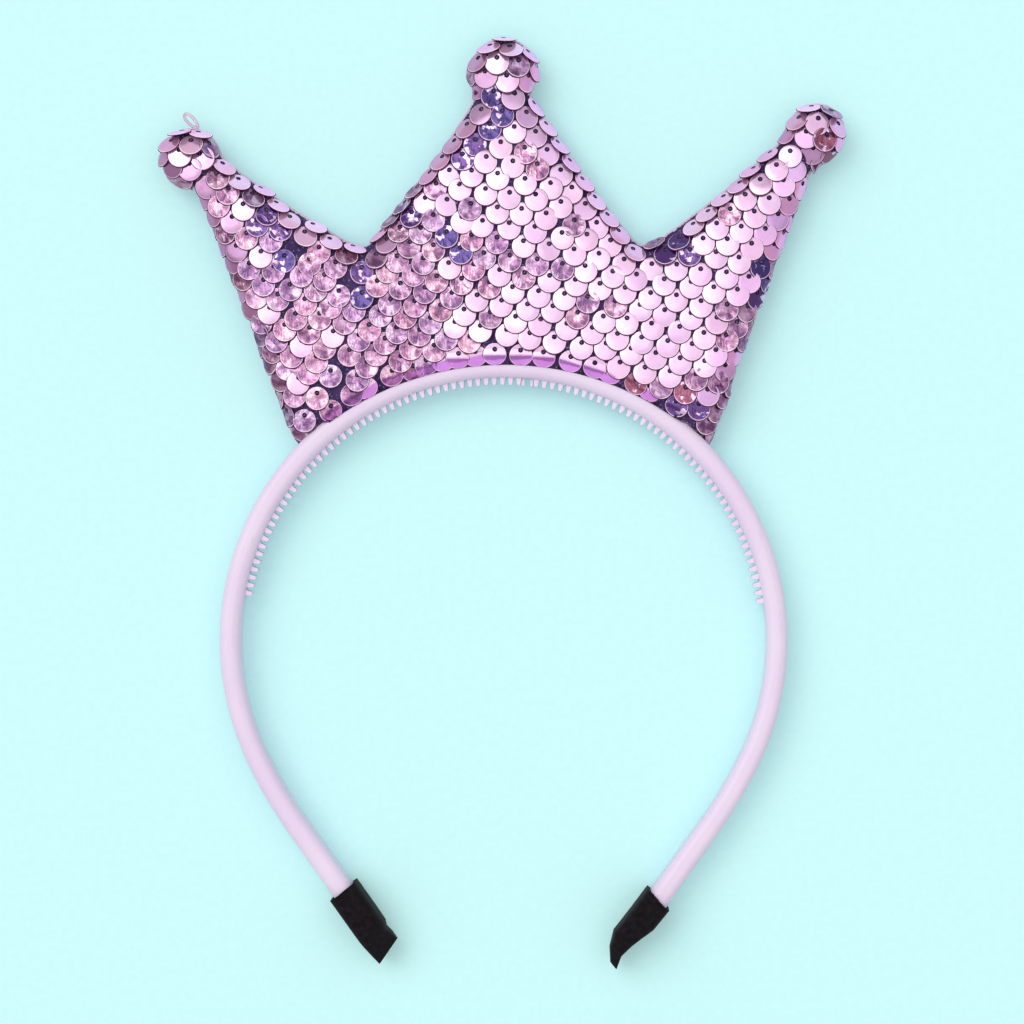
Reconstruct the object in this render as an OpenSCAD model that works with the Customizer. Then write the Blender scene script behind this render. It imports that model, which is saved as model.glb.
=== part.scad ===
// Mini crown headband, lying on its back: +X to the right, +Y from the head arc up to the peaks,
// +Z away from the surface it lies on. The origin is the centre of the head arc, on that surface.

/* [Headband] */
// Inner radius of the arc that goes round the head
head_r = 55.3; // [48:0.1:66]
// Thickness of the band, measured across the head arc
band_t = 4.4; // [4:0.1:7]
// Width of the band, measured up from the surface it lies on
band_w = 8.8; // [7:0.2:14]
// Radius that rounds the long edges of the band
band_edge_r = 1.8; // [0.5:0.1:1.9]
// Angle from the top of the head arc to each of its ends
arc_half_deg = 116; // [100:1:125]
// Radius of the gentler bend below the head arc, at the middle of the band
leg_bend_r = 100; // [80:5:160]
// Angle that the gentler bend turns through
leg_bend_deg = 9.5; // [4:0.5:16]
// Length of the straight end of each leg
leg_len = 23.5; // [22:0.5:40]
// How far every face of the band flares out below the head arc, and again on the straight end
leg_flare = 0.05; // [0.02:0.01:0.15]

/* [Comb] */
// Distance from one comb tooth to the next, along the inner face
tooth_pitch = 1.74; // [1.6:0.01:3]
// How far a tooth stands in from the inner face
tooth_len = 1.55; // [0.8:0.05:3]
// Width of a tooth where it leaves its root fillets
tooth_root_w = 1; // [0.8:0.05:1.3]
// Width of a tooth at its round tip
tooth_tip_w = 0.76; // [0.4:0.04:0.8]
// Radius of the fillet on each side of a tooth's root
tooth_fillet_r = 0.35; // [0.1:0.05:0.5]
// Height of a tooth along the width of the band
tooth_h = 5; // [2:0.5:5]
// Angle from the top of the arc to the last tooth on each side
comb_half_deg = 81.3; // [40:0.1:98]
// Angle to the right of the top at which the two runs of teeth meet
comb_meet_deg = 5.35; // [-10:0.05:10]
// Gap between the two runs of teeth, from the first full tooth of one to that of the other
comb_meet_gap = 3.76; // [3:0.01:6]
// Distance from the first full tooth of a run to the thin tooth that ends it
end_tooth_pitch = 0.97; // [0.8:0.01:1.3]
// Width of that thin tooth
end_tooth_w = 0.56; // [0.4:0.02:0.6]
// Height of that thin tooth along the width of the band
end_tooth_h = 4; // [2:0.5:4.5]

/* [Crown] */
// Thickness of the stuffed crown with its sequins
crown_t = 11.5; // [9:0.5:16]
// Height of the middle ball's centre above the outer face of the band
middle_peak_h = 60.2; // [54:0.2:80]
// Height of the left ball's centre above the top of the band
left_peak_h = 42.2; // [38:0.2:50]
// Height of the right ball's centre above the top of the band
right_peak_h = 47.2; // [40:0.2:54]
// Sideways distance from the middle of the crown to the centres of the outer balls
peak_spread = 65.8; // [62:1:74]
// Radius of the ball on the middle peak
middle_ball_r = 7.65; // [7:0.1:9]
// Radius of the balls on the outer peaks
side_ball_r = 6.7; // [6:0.1:8]
// Height of the two notches above the top of the band
notch_h = 23.1; // [19:0.1:28]
// Sideways distance from the middle of the crown to each notch
notch_spread = 29.4; // [27:0.5:32]
// Radius in the bottom of a notch
notch_r = 0.8; // [0.5:0.1:2]
// Angle from the top of the head arc to each foot of the crown
foot_deg = 47.2; // [42:0.5:52]
// Radius of the corners at the feet
foot_r = 0.9; // [0.8:0.1:2.5]
// How far the sides of the notches bow in between their ends
side_bow = 0.8; // [0:0.1:1.5]
// How far the left outer side bows in
left_side_bow = 0.1; // [-0.5:0.1:1.5]
// How far the right outer side bows in
right_side_bow = 0.7; // [-0.5:0.1:1.5]
// Distance over which the stuffed edge rounds off
edge_round = 7; // [4:0.5:8]
// Distance over which the lower edge rounds off where it sits on the band
seat_round = 3.5; // [2:0.5:5]
// Gap between the crown and the outer face of the band
seat_gap = 0.25; // [0.15:0.05:0.6]

/* [End sleeves] */
// Thickness of the folded ribbon round the band
sleeve_wall = 1; // [0.8:0.1:1.6]
// Gap between the ribbon and the band
sleeve_gap = 0.15; // [0.1:0.05:0.4]
// Length of the left sleeve
left_sleeve_len = 16; // [14:0.5:24]
// Length of the right sleeve
right_sleeve_len = 17; // [15:0.5:24]
// How far the band goes into the left sleeve
left_sleeve_cover = 7.2; // [4:0.2:9]
// How far the band goes into the right sleeve
right_sleeve_cover = 5.2; // [3:0.2:7]

/* [Hidden] */
$fn = 96;

// Sleeves: half their thickness and half their width, round the flared end of the band
sleeve_half_t = band_t / 2 + 2 * leg_flare + sleeve_gap + sleeve_wall;
sleeve_half_w = band_w / 2 + 2 * leg_flare + sleeve_gap + sleeve_wall;

// Band: radii, levels and the points where its stretches meet. The sleeves rest on the surface.
band_outer_r = head_r + band_t;
band_mid_r = head_r + band_t / 2;
band_mid_z = sleeve_half_w;
leg_start_deg = 90 - arc_half_deg;
leg_end_deg = leg_start_deg - leg_bend_deg;
leg_bend_centre = (band_mid_r - leg_bend_r) * unit(leg_start_deg);
leg_straight_start = leg_bend_centre + leg_bend_r * unit(leg_end_deg);
// How far each stretch of the band runs back into the one before
leg_lap = 1;
leg_lap_deg = leg_lap / leg_bend_r * 180 / PI;

// Comb: angles from the top, and how far a tooth is set into the band
tooth_step_deg = tooth_pitch / head_r * 180 / PI;
end_tooth_step_deg = end_tooth_pitch / head_r * 180 / PI;
comb_half_gap_deg = comb_meet_gap / 2 / head_r * 180 / PI;
tooth_set_in = band_t / 3;

// Crown: levels, and the count of points along each stretch of its outline
seat_r = band_outer_r + seat_gap;
crown_mid_z = crown_t / 2;
lower_side_n = 9;
upper_side_n = 14;
ball_n = 20;
corner_n = 4;
seat_n = 34;
round_n = 6;
// Share of the inscribed circle that the rounded edge may take up
inner_share = 0.85;
// How much flatter the crown is where it is narrow
pinch = 1.15;
// Share of an outer side, from the foot, that belongs to the body and not to the peak. Both outer
// sides are made in two stretches, so that the peak can be told from the body.
body_side_share = 0.52;

// Peaks, from right to left: centre of the ball, its radius, and the angles at which its outline
// leaves the lower and the upper side of the peak
BALL_CENTRE = 0;
BALL_R = 1;
BALL_FROM = 2;
BALL_TO = 3;
right_ball = [[peak_spread, band_outer_r + right_peak_h], side_ball_r, -88, 183];
middle_ball = [[0, band_outer_r + middle_peak_h], middle_ball_r, -38, 218];
left_ball = [[-peak_spread, band_outer_r + left_peak_h], side_ball_r, 3, 277];

// Sleeves: sections from the mouth to the folded end. Columns: place along the sleeve as a share of
// its length, inner and outer edge and height as shares of half the sleeve's thickness and width,
// and how far the outer edge runs ahead of the inner one, as a share of the length.
AT = 0;
INNER = 1;
OUTER = 2;
TALL = 3;
SKEW = 4;
LEFT_FOLDS = [
    [0.00, -1.00, 1.00, 1.00, 0.02],
    [0.45, -1.00, 1.00, 1.00, 0.02],
    [0.66, -0.98, 1.00, 0.95, 0.03],
    [0.74, -0.84, 0.98, 0.86, 0.04],
    [0.86, -0.95, 0.92, 0.62, 0.09],
    [1.00, -0.98, 0.84, 0.30, 0.14],
];
RIGHT_FOLDS = [
    [0.00, -0.94, 0.96, 1.00, 0.07],
    [0.32, -0.98, 0.86, 1.00, 0.05],
    [0.50, -1.02, 0.58, 0.97, 0.03],
    [0.66, -1.06, 0.36, 0.88, 0.02],
    [0.84, -0.70, 0.22, 0.66, 0.00],
    [1.00, -0.14, 0.46, 0.30, 0.03],
];
// Points round a sleeve's section, and how square the section is
sleeve_n = 32;
sleeve_squareness = 5;

// Geometry helpers
function unit(a) = [cos(a), sin(a)];
function from_top(r, a) = [r * sin(a), r * cos(a)];
function left_of(v) = [-v[1], v[0]];
function normalised(v) = v / norm(v);
function mix(a, b, t) = a + (b - a) * t;

// Points from a to b, from share t0 of the way up to share t1 without it, that bow to the left
function side_points(a, b, n, bow, t0 = 0, t1 = 1) = [
    for (i = [0 : n - 1]) let (t = mix(t0, t1, i / n))
        mix(a, b, t) + left_of(normalised(b - a)) * bow * 4 * t * (1 - t)
];

// Points of an arc from angle a0 to angle a1, without the last one
function arc_points(centre, r, a0, a1, n) = [
    for (i = [0 : n - 1]) centre + r * unit(mix(a0, a1, i / n))
];

function ball_start(ball) = ball[BALL_CENTRE] + ball[BALL_R] * unit(ball[BALL_FROM]);
function ball_end(ball) = ball[BALL_CENTRE] + ball[BALL_R] * unit(ball[BALL_TO]);
function ball_points(ball) =
    arc_points(ball[BALL_CENTRE], ball[BALL_R], ball[BALL_FROM], ball[BALL_TO], ball_n);

// Corner between the directions towards a and b, rounded with radius r, as n + 1 points
function corner_points(corner, a, b, r, n) =
    let (
        to_a = normalised(a - corner),
        to_b = normalised(b - corner),
        half = acos(to_a * to_b) / 2,
        centre = corner + normalised(to_a + to_b) * r / sin(half),
        start = corner + to_a * r / tan(half) - centre,
        end = corner + to_b * r / tan(half) - centre,
        a0 = atan2(start[1], start[0]),
        turn = atan2(start[0] * end[1] - start[1] * end[0], start * end)
    )
    [for (i = [0 : n]) centre + r * unit(a0 + turn * i / n)];

// Corners of the crown
right_foot = from_top(seat_r, foot_deg);
left_foot = from_top(seat_r, -foot_deg);
right_notch = [notch_spread, band_outer_r + notch_h];
left_notch = [-notch_spread, band_outer_r + notch_h];
right_foot_arc = corner_points(right_foot, from_top(seat_r, foot_deg - 3), ball_start(right_ball),
                               foot_r, corner_n);
left_foot_arc = corner_points(left_foot, ball_end(left_ball), from_top(seat_r, 3 - foot_deg),
                              foot_r, corner_n);
right_notch_arc = corner_points(right_notch, ball_end(right_ball), ball_start(middle_ball),
                                notch_r, corner_n);
left_notch_arc = corner_points(left_notch, ball_end(middle_ball), ball_start(left_ball),
                               notch_r, corner_n);

// Corners in which the outer sides end
right_side_low = last(right_foot_arc);
right_side_high = ball_start(right_ball);
left_side_high = ball_end(left_ball);
left_side_low = left_foot_arc[0];
function last(list) = list[len(list) - 1];
function without_last(list) = [for (i = [0 : len(list) - 2]) list[i]];

right_seat_deg = atan2(right_foot_arc[0][0], right_foot_arc[0][1]);
left_seat_deg = atan2(last(left_foot_arc)[0], last(left_foot_arc)[1]);

// Outline of the crown, anticlockwise from the right foot
stretches = [
    without_last(right_foot_arc),
    side_points(right_side_low, right_side_high, lower_side_n, right_side_bow, 0, body_side_share),
    side_points(right_side_low, right_side_high, upper_side_n, right_side_bow, body_side_share, 1),
    ball_points(right_ball),
    side_points(ball_end(right_ball), right_notch_arc[0], upper_side_n, side_bow),
    without_last(right_notch_arc),
    side_points(last(right_notch_arc), ball_start(middle_ball), upper_side_n, side_bow),
    ball_points(middle_ball),
    side_points(ball_end(middle_ball), left_notch_arc[0], upper_side_n, side_bow),
    without_last(left_notch_arc),
    side_points(last(left_notch_arc), ball_start(left_ball), upper_side_n, side_bow),
    ball_points(left_ball),
    side_points(left_side_high, left_side_low, upper_side_n, left_side_bow, 0, 1 - body_side_share),
    side_points(left_side_high, left_side_low, lower_side_n, left_side_bow, 1 - body_side_share, 1),
    without_last(left_foot_arc),
    [for (i = [0 : seat_n - 1]) from_top(seat_r, mix(left_seat_deg, right_seat_deg, i / seat_n))],
];
outline = [for (stretch = stretches) each stretch];
outline_n = len(outline);
function stretch_start(k) = k == 0 ? 0 : stretch_start(k - 1) + len(stretches[k - 1]);

// Index of the first point of each stretch
RIGHT_LOWER = stretch_start(1);
RIGHT_UPPER = stretch_start(2);
RIGHT_BALL = stretch_start(3);
RIGHT_INNER = stretch_start(4);
RIGHT_NOTCH = stretch_start(5);
MIDDLE_RIGHT = stretch_start(6);
MIDDLE_BALL = stretch_start(7);
MIDDLE_LEFT = stretch_start(8);
LEFT_NOTCH = stretch_start(9);
LEFT_INNER = stretch_start(10);
LEFT_BALL = stretch_start(11);
LEFT_UPPER = stretch_start(12);
LEFT_LOWER = stretch_start(13);
LEFT_FOOT = stretch_start(14);
SEAT = stretch_start(15);

// Inward direction at each point of the outline
inward = [
    for (i = [0 : outline_n - 1])
        let (before = outline[(i + outline_n - 1) % outline_n], after = outline[(i + 1) % outline_n])
        left_of(normalised(normalised(outline[i] - before) + normalised(after - outline[i])))
];

// Radius of the largest circle inside the outline that touches it at point i
function inscribed_r(i) = min([
    for (j = [0 : outline_n - 1])
        let (way = outline[j] - outline[i], depth = way * inward[i])
        if (j != i && depth > 0.01) way * way / (2 * depth)
]);
room = [for (i = [0 : outline_n - 1]) inner_share * inscribed_r(i)];
smooth_room = [
    for (i = [0 : outline_n - 1])
        min(room[i], (room[(i + outline_n - 1) % outline_n] + room[i] + room[(i + 1) % outline_n]) / 3)
];
edge_depth = [
    for (i = [0 : outline_n - 1]) min(i >= SEAT ? seat_round : edge_round, smooth_room[i])
];
half_height = [
    for (i = [0 : outline_n - 1])
        let (fullness = min(1, smooth_room[i] / edge_round))
        crown_t / 2 * (1 - pinch * pow(1 - fullness, 2))
];

// Level k of the rounded edge at point i: 0 is the seam, round_n the start of the flat
function edge_point(i, k, sign) =
    let (phi = 90 * k / round_n, at = outline[i] + inward[i] * edge_depth[i] * (1 - cos(phi)))
    [at[0], at[1], crown_mid_z + sign * half_height[i] * sin(phi)];

// Rows of points from the flat of the back, over the seam, to the flat of the front
crown_rows = 2 * round_n;
crown_points = [
    for (row = [0 : crown_rows]) for (i = [0 : outline_n - 1])
        edge_point(i, abs(row - round_n), row < round_n ? -1 : 1)
];
rim_faces = [
    for (row = [0 : crown_rows - 1]) for (i = [0 : outline_n - 1])
        let (
            a = row * outline_n + i,
            b = row * outline_n + (i + 1) % outline_n,
            c = b + outline_n,
            d = a + outline_n
        )
        each [[a, d, c], [a, c, b]]
];

// Triangles across a strip whose two sides are the points from right0 up and from left0 down
function ladder(right0, left0, n) = [
    for (k = [0 : n - 1])
        each [[right0 + k, right0 + k + 1, left0 - k], [right0 + k + 1, left0 - k - 1, left0 - k]]
];
// Triangles that close a ball between its outline's first and last point
function ball_cap(first, n) = [
    for (k = [0 : n / 2 - 1])
        each (k == n / 2 - 1
            ? [[first + k, first + k + 1, first + n - k]]
            : [[first + k, first + k + 1, first + n - k],
               [first + k + 1, first + n - k - 1, first + n - k]])
];
// Place in plan where the flat starts at point i of the outline
function flat_at(i) = outline[i] + inward[i] * edge_depth[i];
// Triangles between two lists of points that run side by side, each with the shorter cross line
function zip(low, high, i, j) =
    let (
        low_ends = i == len(low) - 1,
        high_ends = j == len(high) - 1,
        step_low = low_ends ? undef : norm(flat_at(low[i + 1]) - flat_at(high[j])),
        step_high = high_ends ? undef : norm(flat_at(low[i]) - flat_at(high[j + 1]))
    )
    low_ends && high_ends ? [] :
    high_ends || (!low_ends && step_low <= step_high)
        ? concat([[low[i], low[i + 1], high[j]]], zip(low, high, i + 1, j))
        : concat([[low[i], high[j + 1], high[j]]], zip(low, high, i, j + 1));

function count_up(a, b) = [for (i = [a : b]) i];
function count_down(a, b) = [for (i = [a : -1 : b]) i];
body_low = concat(count_up(SEAT, outline_n - 1), [0]);
body_high = concat(
    count_down(SEAT - 1, LEFT_LOWER),
    count_down(LEFT_INNER, LEFT_NOTCH),
    count_down(MIDDLE_RIGHT, RIGHT_NOTCH),
    count_down(RIGHT_UPPER, 1)
);
flat_faces = concat(
    ladder(RIGHT_UPPER, RIGHT_NOTCH, upper_side_n),
    ball_cap(RIGHT_BALL, ball_n),
    ladder(MIDDLE_RIGHT, LEFT_NOTCH, upper_side_n),
    ball_cap(MIDDLE_BALL, ball_n),
    ladder(LEFT_INNER, LEFT_LOWER, upper_side_n),
    ball_cap(LEFT_BALL, ball_n),
    zip(body_low, body_high, 0, 0)
);
front_faces = [for (f = flat_faces) crown_rows * outline_n * [1, 1, 1] + [f[2], f[1], f[0]]];
crown_faces = concat(rim_faces, flat_faces, front_faces);

// Section of the band: a rectangle with rounded corners, round its own centre
module band_section(grow = 0) {
    t = band_t + 2 * grow;
    w = band_w + 2 * grow;
    square([t, w - 2 * band_edge_r], center = true);
    square([t - 2 * band_edge_r, w], center = true);
    for (x = [-1, 1], y = [-1, 1])
        translate([x * (t / 2 - band_edge_r), y * (w / 2 - band_edge_r)]) circle(r = band_edge_r);
}

// Right leg of the band: the gentler bend and the straight end
module right_leg() {
    translate([leg_bend_centre[0], leg_bend_centre[1], band_mid_z])
        rotate_extrude(angle = leg_bend_deg + leg_lap_deg, start = leg_end_deg)
            translate([leg_bend_r, 0]) band_section(grow = leg_flare);
    along_right_leg() translate([0, 0, -leg_lap])
        linear_extrude(leg_len + leg_lap) band_section(grow = 2 * leg_flare);
}

// Puts its children where the right leg's straight end starts, with +Z running down the leg
module along_right_leg() {
    translate([leg_straight_start[0], leg_straight_start[1], band_mid_z])
        rotate([0, 0, leg_end_deg]) rotate([90, 0, 0]) children();
}

// Puts a shape in plan, with the head arc's centre at its origin, on the comb at an angle from the top
module on_comb(a, h) {
    rotate([0, 0, -a]) translate([0, 0, band_mid_z - h / 2]) linear_extrude(h) children();
}

// One comb tooth in plan: fillets at its root, flanks that close in and a round tip
module tooth() {
    tip_y = head_r - tooth_len + tooth_tip_w / 2;
    root_y = head_r + tooth_set_in;
    flank = [for (t = [0 : 30 : 90])
        [tooth_root_w / 2 + tooth_fillet_r * (1 - sin(t)), head_r - tooth_fillet_r * (1 - cos(t))]];
    right = concat([[flank[0][0], root_y]], flank, [[tooth_tip_w / 2, tip_y]]);
    left = [for (i = [len(right) - 1 : -1 : 0]) [-right[i][0], right[i][1]]];
    polygon(concat(right, left));
    translate([0, tip_y]) circle(d = tooth_tip_w, $fn = 16);
}

// The thin tooth at the end of a run, in plan
module end_tooth() {
    tip_y = head_r - tooth_len + end_tooth_w / 2;
    translate([-end_tooth_w / 2, tip_y]) square([end_tooth_w, tooth_len + tooth_set_in]);
    translate([0, tip_y]) circle(d = end_tooth_w, $fn = 16);
}

// Two runs of teeth that meet near the top, each ending there in a thin tooth
module comb() {
    for (side = [-1, 1]) {
        first_deg = comb_half_gap_deg + side * comb_meet_deg;
        on_comb(side * (first_deg - end_tooth_step_deg), end_tooth_h) end_tooth();
        for (a = [first_deg : tooth_step_deg : comb_half_deg]) on_comb(side * a, tooth_h) tooth();
    }
}

module headband() {
    color("#e3d5ea") {
        translate([0, 0, band_mid_z])
            rotate_extrude(angle = 2 * arc_half_deg, start = leg_start_deg)
                translate([band_mid_r, 0]) band_section();
        right_leg();
        mirror([1, 0, 0]) right_leg();
        comb();
    }
}

module crown() {
    color("#d99fd8") polyhedron(points = crown_points, faces = crown_faces, convexity = 6);
}

// Points of a sleeve: x across the band with outwards positive, y up from the middle of the band,
// z along the leg from the mouth
function sleeve_points(folds, length) = [
    for (row = folds) for (i = [0 : sleeve_n - 1])
        let (
            a = 360 * i / sleeve_n,
            c = cos(a),
            s = sin(a),
            r = pow(pow(abs(c), sleeve_squareness) + pow(abs(s), sleeve_squareness),
                    -1 / sleeve_squareness),
            x = sleeve_half_t * mix(row[INNER], row[OUTER], (1 + r * c) / 2)
        )
        [x, sleeve_half_w * row[TALL] * r * s, length * (row[AT] + row[SKEW] * r * c / 2)]
];
function sleeve_faces(rows) = concat(
    [[for (i = [0 : sleeve_n - 1]) i]],
    [for (row = [0 : rows - 2]) for (i = [0 : sleeve_n - 1])
        let (a = row * sleeve_n + i, b = row * sleeve_n + (i + 1) % sleeve_n)
        each [[a, a + sleeve_n, b + sleeve_n], [a, b + sleeve_n, b]]],
    [[for (i = [sleeve_n - 1 : -1 : 0]) (rows - 1) * sleeve_n + i]]
);

// Ribbon sleeve on the right leg, with a pocket for the end of the band
module sleeve(folds, length, cover) {
    along_right_leg() translate([0, 0, leg_len - cover]) difference() {
        polyhedron(points = sleeve_points(folds, length), faces = sleeve_faces(len(folds)));
        translate([0, 0, -length]) linear_extrude(length + cover + sleeve_gap)
            band_section(grow = 2 * leg_flare + sleeve_gap);
    }
}

module left_tip() {
    color("#1c171c") mirror([1, 0, 0]) sleeve(LEFT_FOLDS, left_sleeve_len, left_sleeve_cover);
}

module right_tip() {
    color("#1c171c") sleeve(RIGHT_FOLDS, right_sleeve_len, right_sleeve_cover);
}

headband();
crown();
left_tip();
right_tip();
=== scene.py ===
"""Looks of the mini crown headband: a stuffed crown of reversible sequins on a plastic headband.

Lengths in this file are in millimetres unless a name says otherwise, and become metres when a mesh
or a place is handed to the scene. +X is right and +Y is up in the photograph, +Z faces the camera.
"""

import math
import random

import bpy
import numpy as np
from mathutils import Matrix, Vector
from mathutils.bvhtree import BVHTree


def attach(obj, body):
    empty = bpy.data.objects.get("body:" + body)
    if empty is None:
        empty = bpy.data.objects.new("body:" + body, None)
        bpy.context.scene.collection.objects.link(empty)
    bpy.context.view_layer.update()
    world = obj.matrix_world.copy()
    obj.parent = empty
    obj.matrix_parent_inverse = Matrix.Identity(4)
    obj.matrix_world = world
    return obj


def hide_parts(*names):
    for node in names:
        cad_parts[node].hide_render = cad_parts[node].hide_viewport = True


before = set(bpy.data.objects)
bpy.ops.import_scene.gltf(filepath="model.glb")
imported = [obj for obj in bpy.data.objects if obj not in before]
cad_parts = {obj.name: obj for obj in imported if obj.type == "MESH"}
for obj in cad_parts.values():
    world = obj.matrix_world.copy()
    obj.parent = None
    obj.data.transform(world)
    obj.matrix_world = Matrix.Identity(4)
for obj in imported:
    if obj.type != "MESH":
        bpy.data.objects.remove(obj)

MM = 0.001
UP = np.array([0.0, 0.0, 1.0])
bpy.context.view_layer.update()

# Crown: level of its seam and of its top, how far in from the outline its sides round off, and how far
# the pad is drawn in under the CAD surface, on its flats and at its sides
SEAM_Z = 5.75
CROWN_TOP_Z = 11.5
ROUND_DEPTH = 7.0
PAD_INSET = 0.55
SIDE_INSET = 0.15
# Sequins: radius, radius of the hole, how far the hole is above the middle, and their thickness
DISC_R = 2.56
HOLE_R = 0.54
HOLE_RISE = 1.22
DISC_T = 0.14
# Sequins: place of one hole, the steps along a row and to the next row, how both drift, and how a row
# bends down towards its ends
LATTICE_ORIGIN = np.array([12.67, 72.68])
ROW_STEP = np.array([5.30, -0.82])
COLUMN_STEP = np.array([2.89, -3.62])
STEP_DRIFT = np.array([-0.013, -0.013])
COLUMN_DRIFT = np.array([0.0235, 0.0095])
ROW_BEND = np.array([0.001, 0.004])


# Node helpers

def material(name, **values):
    """A new material and its node tree, with values set on the shader's own sockets."""
    made = bpy.data.materials.new(name)
    made.use_nodes = True
    shader = made.node_tree.nodes["Principled BSDF"]
    for socket, value in values.items():
        shader.inputs[socket.replace("_", " ")].default_value = value
    return made, made.node_tree, shader


def node(tree, kind, inputs=None, **settings):
    """A node of one kind with its settings. An input is a number, a colour or another socket."""
    made = tree.nodes.new("ShaderNode" + kind)
    for name, value in settings.items():
        setattr(made, name, value)
    for name, value in (inputs or {}).items():
        if isinstance(value, bpy.types.NodeSocket):
            tree.links.new(value, made.inputs[name])
        else:
            made.inputs[name].default_value = value
    return made


def place(tree):
    """The point of the surface, in metres, in the frame of the part."""
    return node(tree, "TexCoord").outputs["Object"]


def math_node(tree, operation, a, b=0.0, c=0.0):
    return node(tree, "Math", {0: a, 1: b, 2: c}, operation=operation).outputs[0]


def noise(tree, scale, detail=2.0, vector=None, roughness=0.5):
    inputs = {"Scale": scale, "Detail": detail, "Roughness": roughness}
    inputs["Vector"] = vector or place(tree)
    return node(tree, "TexNoise", inputs).outputs["Fac"]


def ramp(tree, factor, stops):
    """Colours along a factor. Stops are (place, colour) with colours of three linear numbers."""
    made = node(tree, "ValToRGB", {"Fac": factor})
    elements = made.color_ramp.elements
    while len(elements) < len(stops):
        elements.new(0.5)
    for element, (at, colour) in zip(elements, stops):
        element.position = at
        element.color = (*colour, 1.0)
    return made.outputs["Color"]


def grey_ramp(tree, factor, stops):
    return ramp(tree, factor, [(at, (value, value, value)) for at, value in stops])


def blend_colours(tree, factor, a, b, kind="MIX"):
    made = node(tree, "Mix", data_type="RGBA", blend_type=kind)
    for index, value in ((0, factor), (6, a), (7, b)):
        if isinstance(value, bpy.types.NodeSocket):
            tree.links.new(value, made.inputs[index])
        else:
            made.inputs[index].default_value = value if index == 0 else (*value, 1.0)
    return made.outputs[2]


def bump(tree, shader, height, distance):
    made = node(tree, "Bump", {"Height": height, "Distance": distance, "Strength": 1.0})
    tree.links.new(made.outputs["Normal"], shader.inputs["Normal"])


def clouded_material(name, cloud, stops, grain, grain_height, **values):
    """A material with a colour that drifts along one noise, and a fine bump from another. Each noise
    is given as (scale, detail)."""
    made, tree, shader = material(name, **values)
    colour = ramp(tree, noise(tree, *cloud), stops)
    tree.links.new(colour, shader.inputs["Base Color"])
    bump(tree, shader, noise(tree, *grain), grain_height)
    return made, tree, shader, colour


# Mesh helpers

def mesh_object(name, points, faces, materials, smooth=True):
    """A mesh from points in millimetres."""
    mesh = bpy.data.meshes.new(name)
    mesh.from_pydata([tuple(p) for p in np.asarray(points) * MM], [], faces)
    mesh.update()
    for made in materials:
        mesh.materials.append(made)
    mesh.polygons.foreach_set("use_smooth", [smooth] * len(mesh.polygons))
    piece = bpy.data.objects.new(name, mesh)
    bpy.context.scene.collection.objects.link(piece)
    return piece


def unit(v):
    v = np.asarray(v, float)
    return v / max(np.linalg.norm(v), 1e-9)


def plan_radius(points):
    """Distances from the middle of the head arc, seen from the front."""
    return np.hypot(points[:, 0], points[:, 1])


def use_only(piece):
    """Selects one piece and makes it the active one, as modifiers need."""
    bpy.ops.object.select_all(action="DESELECT")
    piece.select_set(True)
    bpy.context.view_layer.objects.active = piece


def apply_modifier(piece, kind, **settings):
    use_only(piece)
    made = piece.modifiers.new(kind.lower(), kind)
    for name, value in settings.items():
        setattr(made, name, value)
    bpy.ops.object.modifier_apply(modifier=made.name)


def tube(path, radius, n=8, closed=False):
    """Points and faces of a tube along a path of 3-D points. Its ends are closed with a fan."""
    path = np.asarray(path, float)
    count = len(path)
    points, faces = [], []
    side = None
    for i, at in enumerate(path):
        before = path[i - 1] if closed or i > 0 else path[i]
        after = path[(i + 1) % count] if closed or i < count - 1 else path[i]
        ahead = unit(after - before)
        if side is None:
            side = unit(np.cross(ahead, [0.31, 0.17, 0.93]))
        side = unit(side - ahead * np.dot(side, ahead))
        other = np.cross(ahead, side)
        for k in range(n):
            a = 2 * math.pi * k / n
            points.append(at + radius * (math.cos(a) * side + math.sin(a) * other))
    rows = count if closed else count - 1
    for i in range(rows):
        for k in range(n):
            a, b = i * n + k, i * n + (k + 1) % n
            c, d = (b + n) % (count * n), (a + n) % (count * n)
            faces.append((a, b, c, d))
    if not closed:
        faces.append(tuple(range(n - 1, -1, -1)))
        faces.append(tuple(range((count - 1) * n, count * n)))
    return points, faces


# Camera, floor and light

VIEW_TARGET = (1.793, 26.995, 5.65)
CAMERA_AT = (14.0, 27.0, 745.65)
VIEW_WIDTH = 215.96
SENSOR = 36.0


def add_camera():
    camera = bpy.data.cameras.new("camera")
    away = np.subtract(CAMERA_AT, VIEW_TARGET)
    camera.sensor_width = SENSOR
    camera.lens = SENSOR * float(np.linalg.norm(away)) / VIEW_WIDTH
    camera.clip_start = 0.01
    camera.clip_end = 20.0
    shot = bpy.data.objects.new("camera", camera)
    shot.location = Vector(CAMERA_AT) * MM
    back = unit(away)
    right = unit(np.cross([0.0, 1.0, 0.0], back))
    turn = Matrix(np.array([right, np.cross(back, right), back]).T.tolist())
    shot.rotation_euler = turn.to_euler()
    bpy.context.scene.collection.objects.link(shot)
    bpy.context.scene.camera = shot


# Share of its own light that the floor card gives off, which keeps the shadows pale
FLOOR_GLOW = 0.25


def floor_material():
    stops = [(0.3, (0.472, 0.760, 0.748)), (0.7, (0.488, 0.776, 0.764))]
    made, tree, shader, colour = clouded_material(
        "floor_card", (700.0, 3.0), stops, (700.0, 3.0), 0.00002,
        Roughness=0.75, Specular_IOR_Level=0.2, Emission_Strength=FLOOR_GLOW)
    tree.links.new(colour, shader.inputs["Emission Color"])
    return made


def add_floor():
    half = 1500.0
    corners = [(-half, -half, 0), (half, -half, 0), (half, half, 0), (-half, half, 0)]
    floor = mesh_object("floor", corners, [(0, 1, 2, 3)], [floor_material()])


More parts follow.
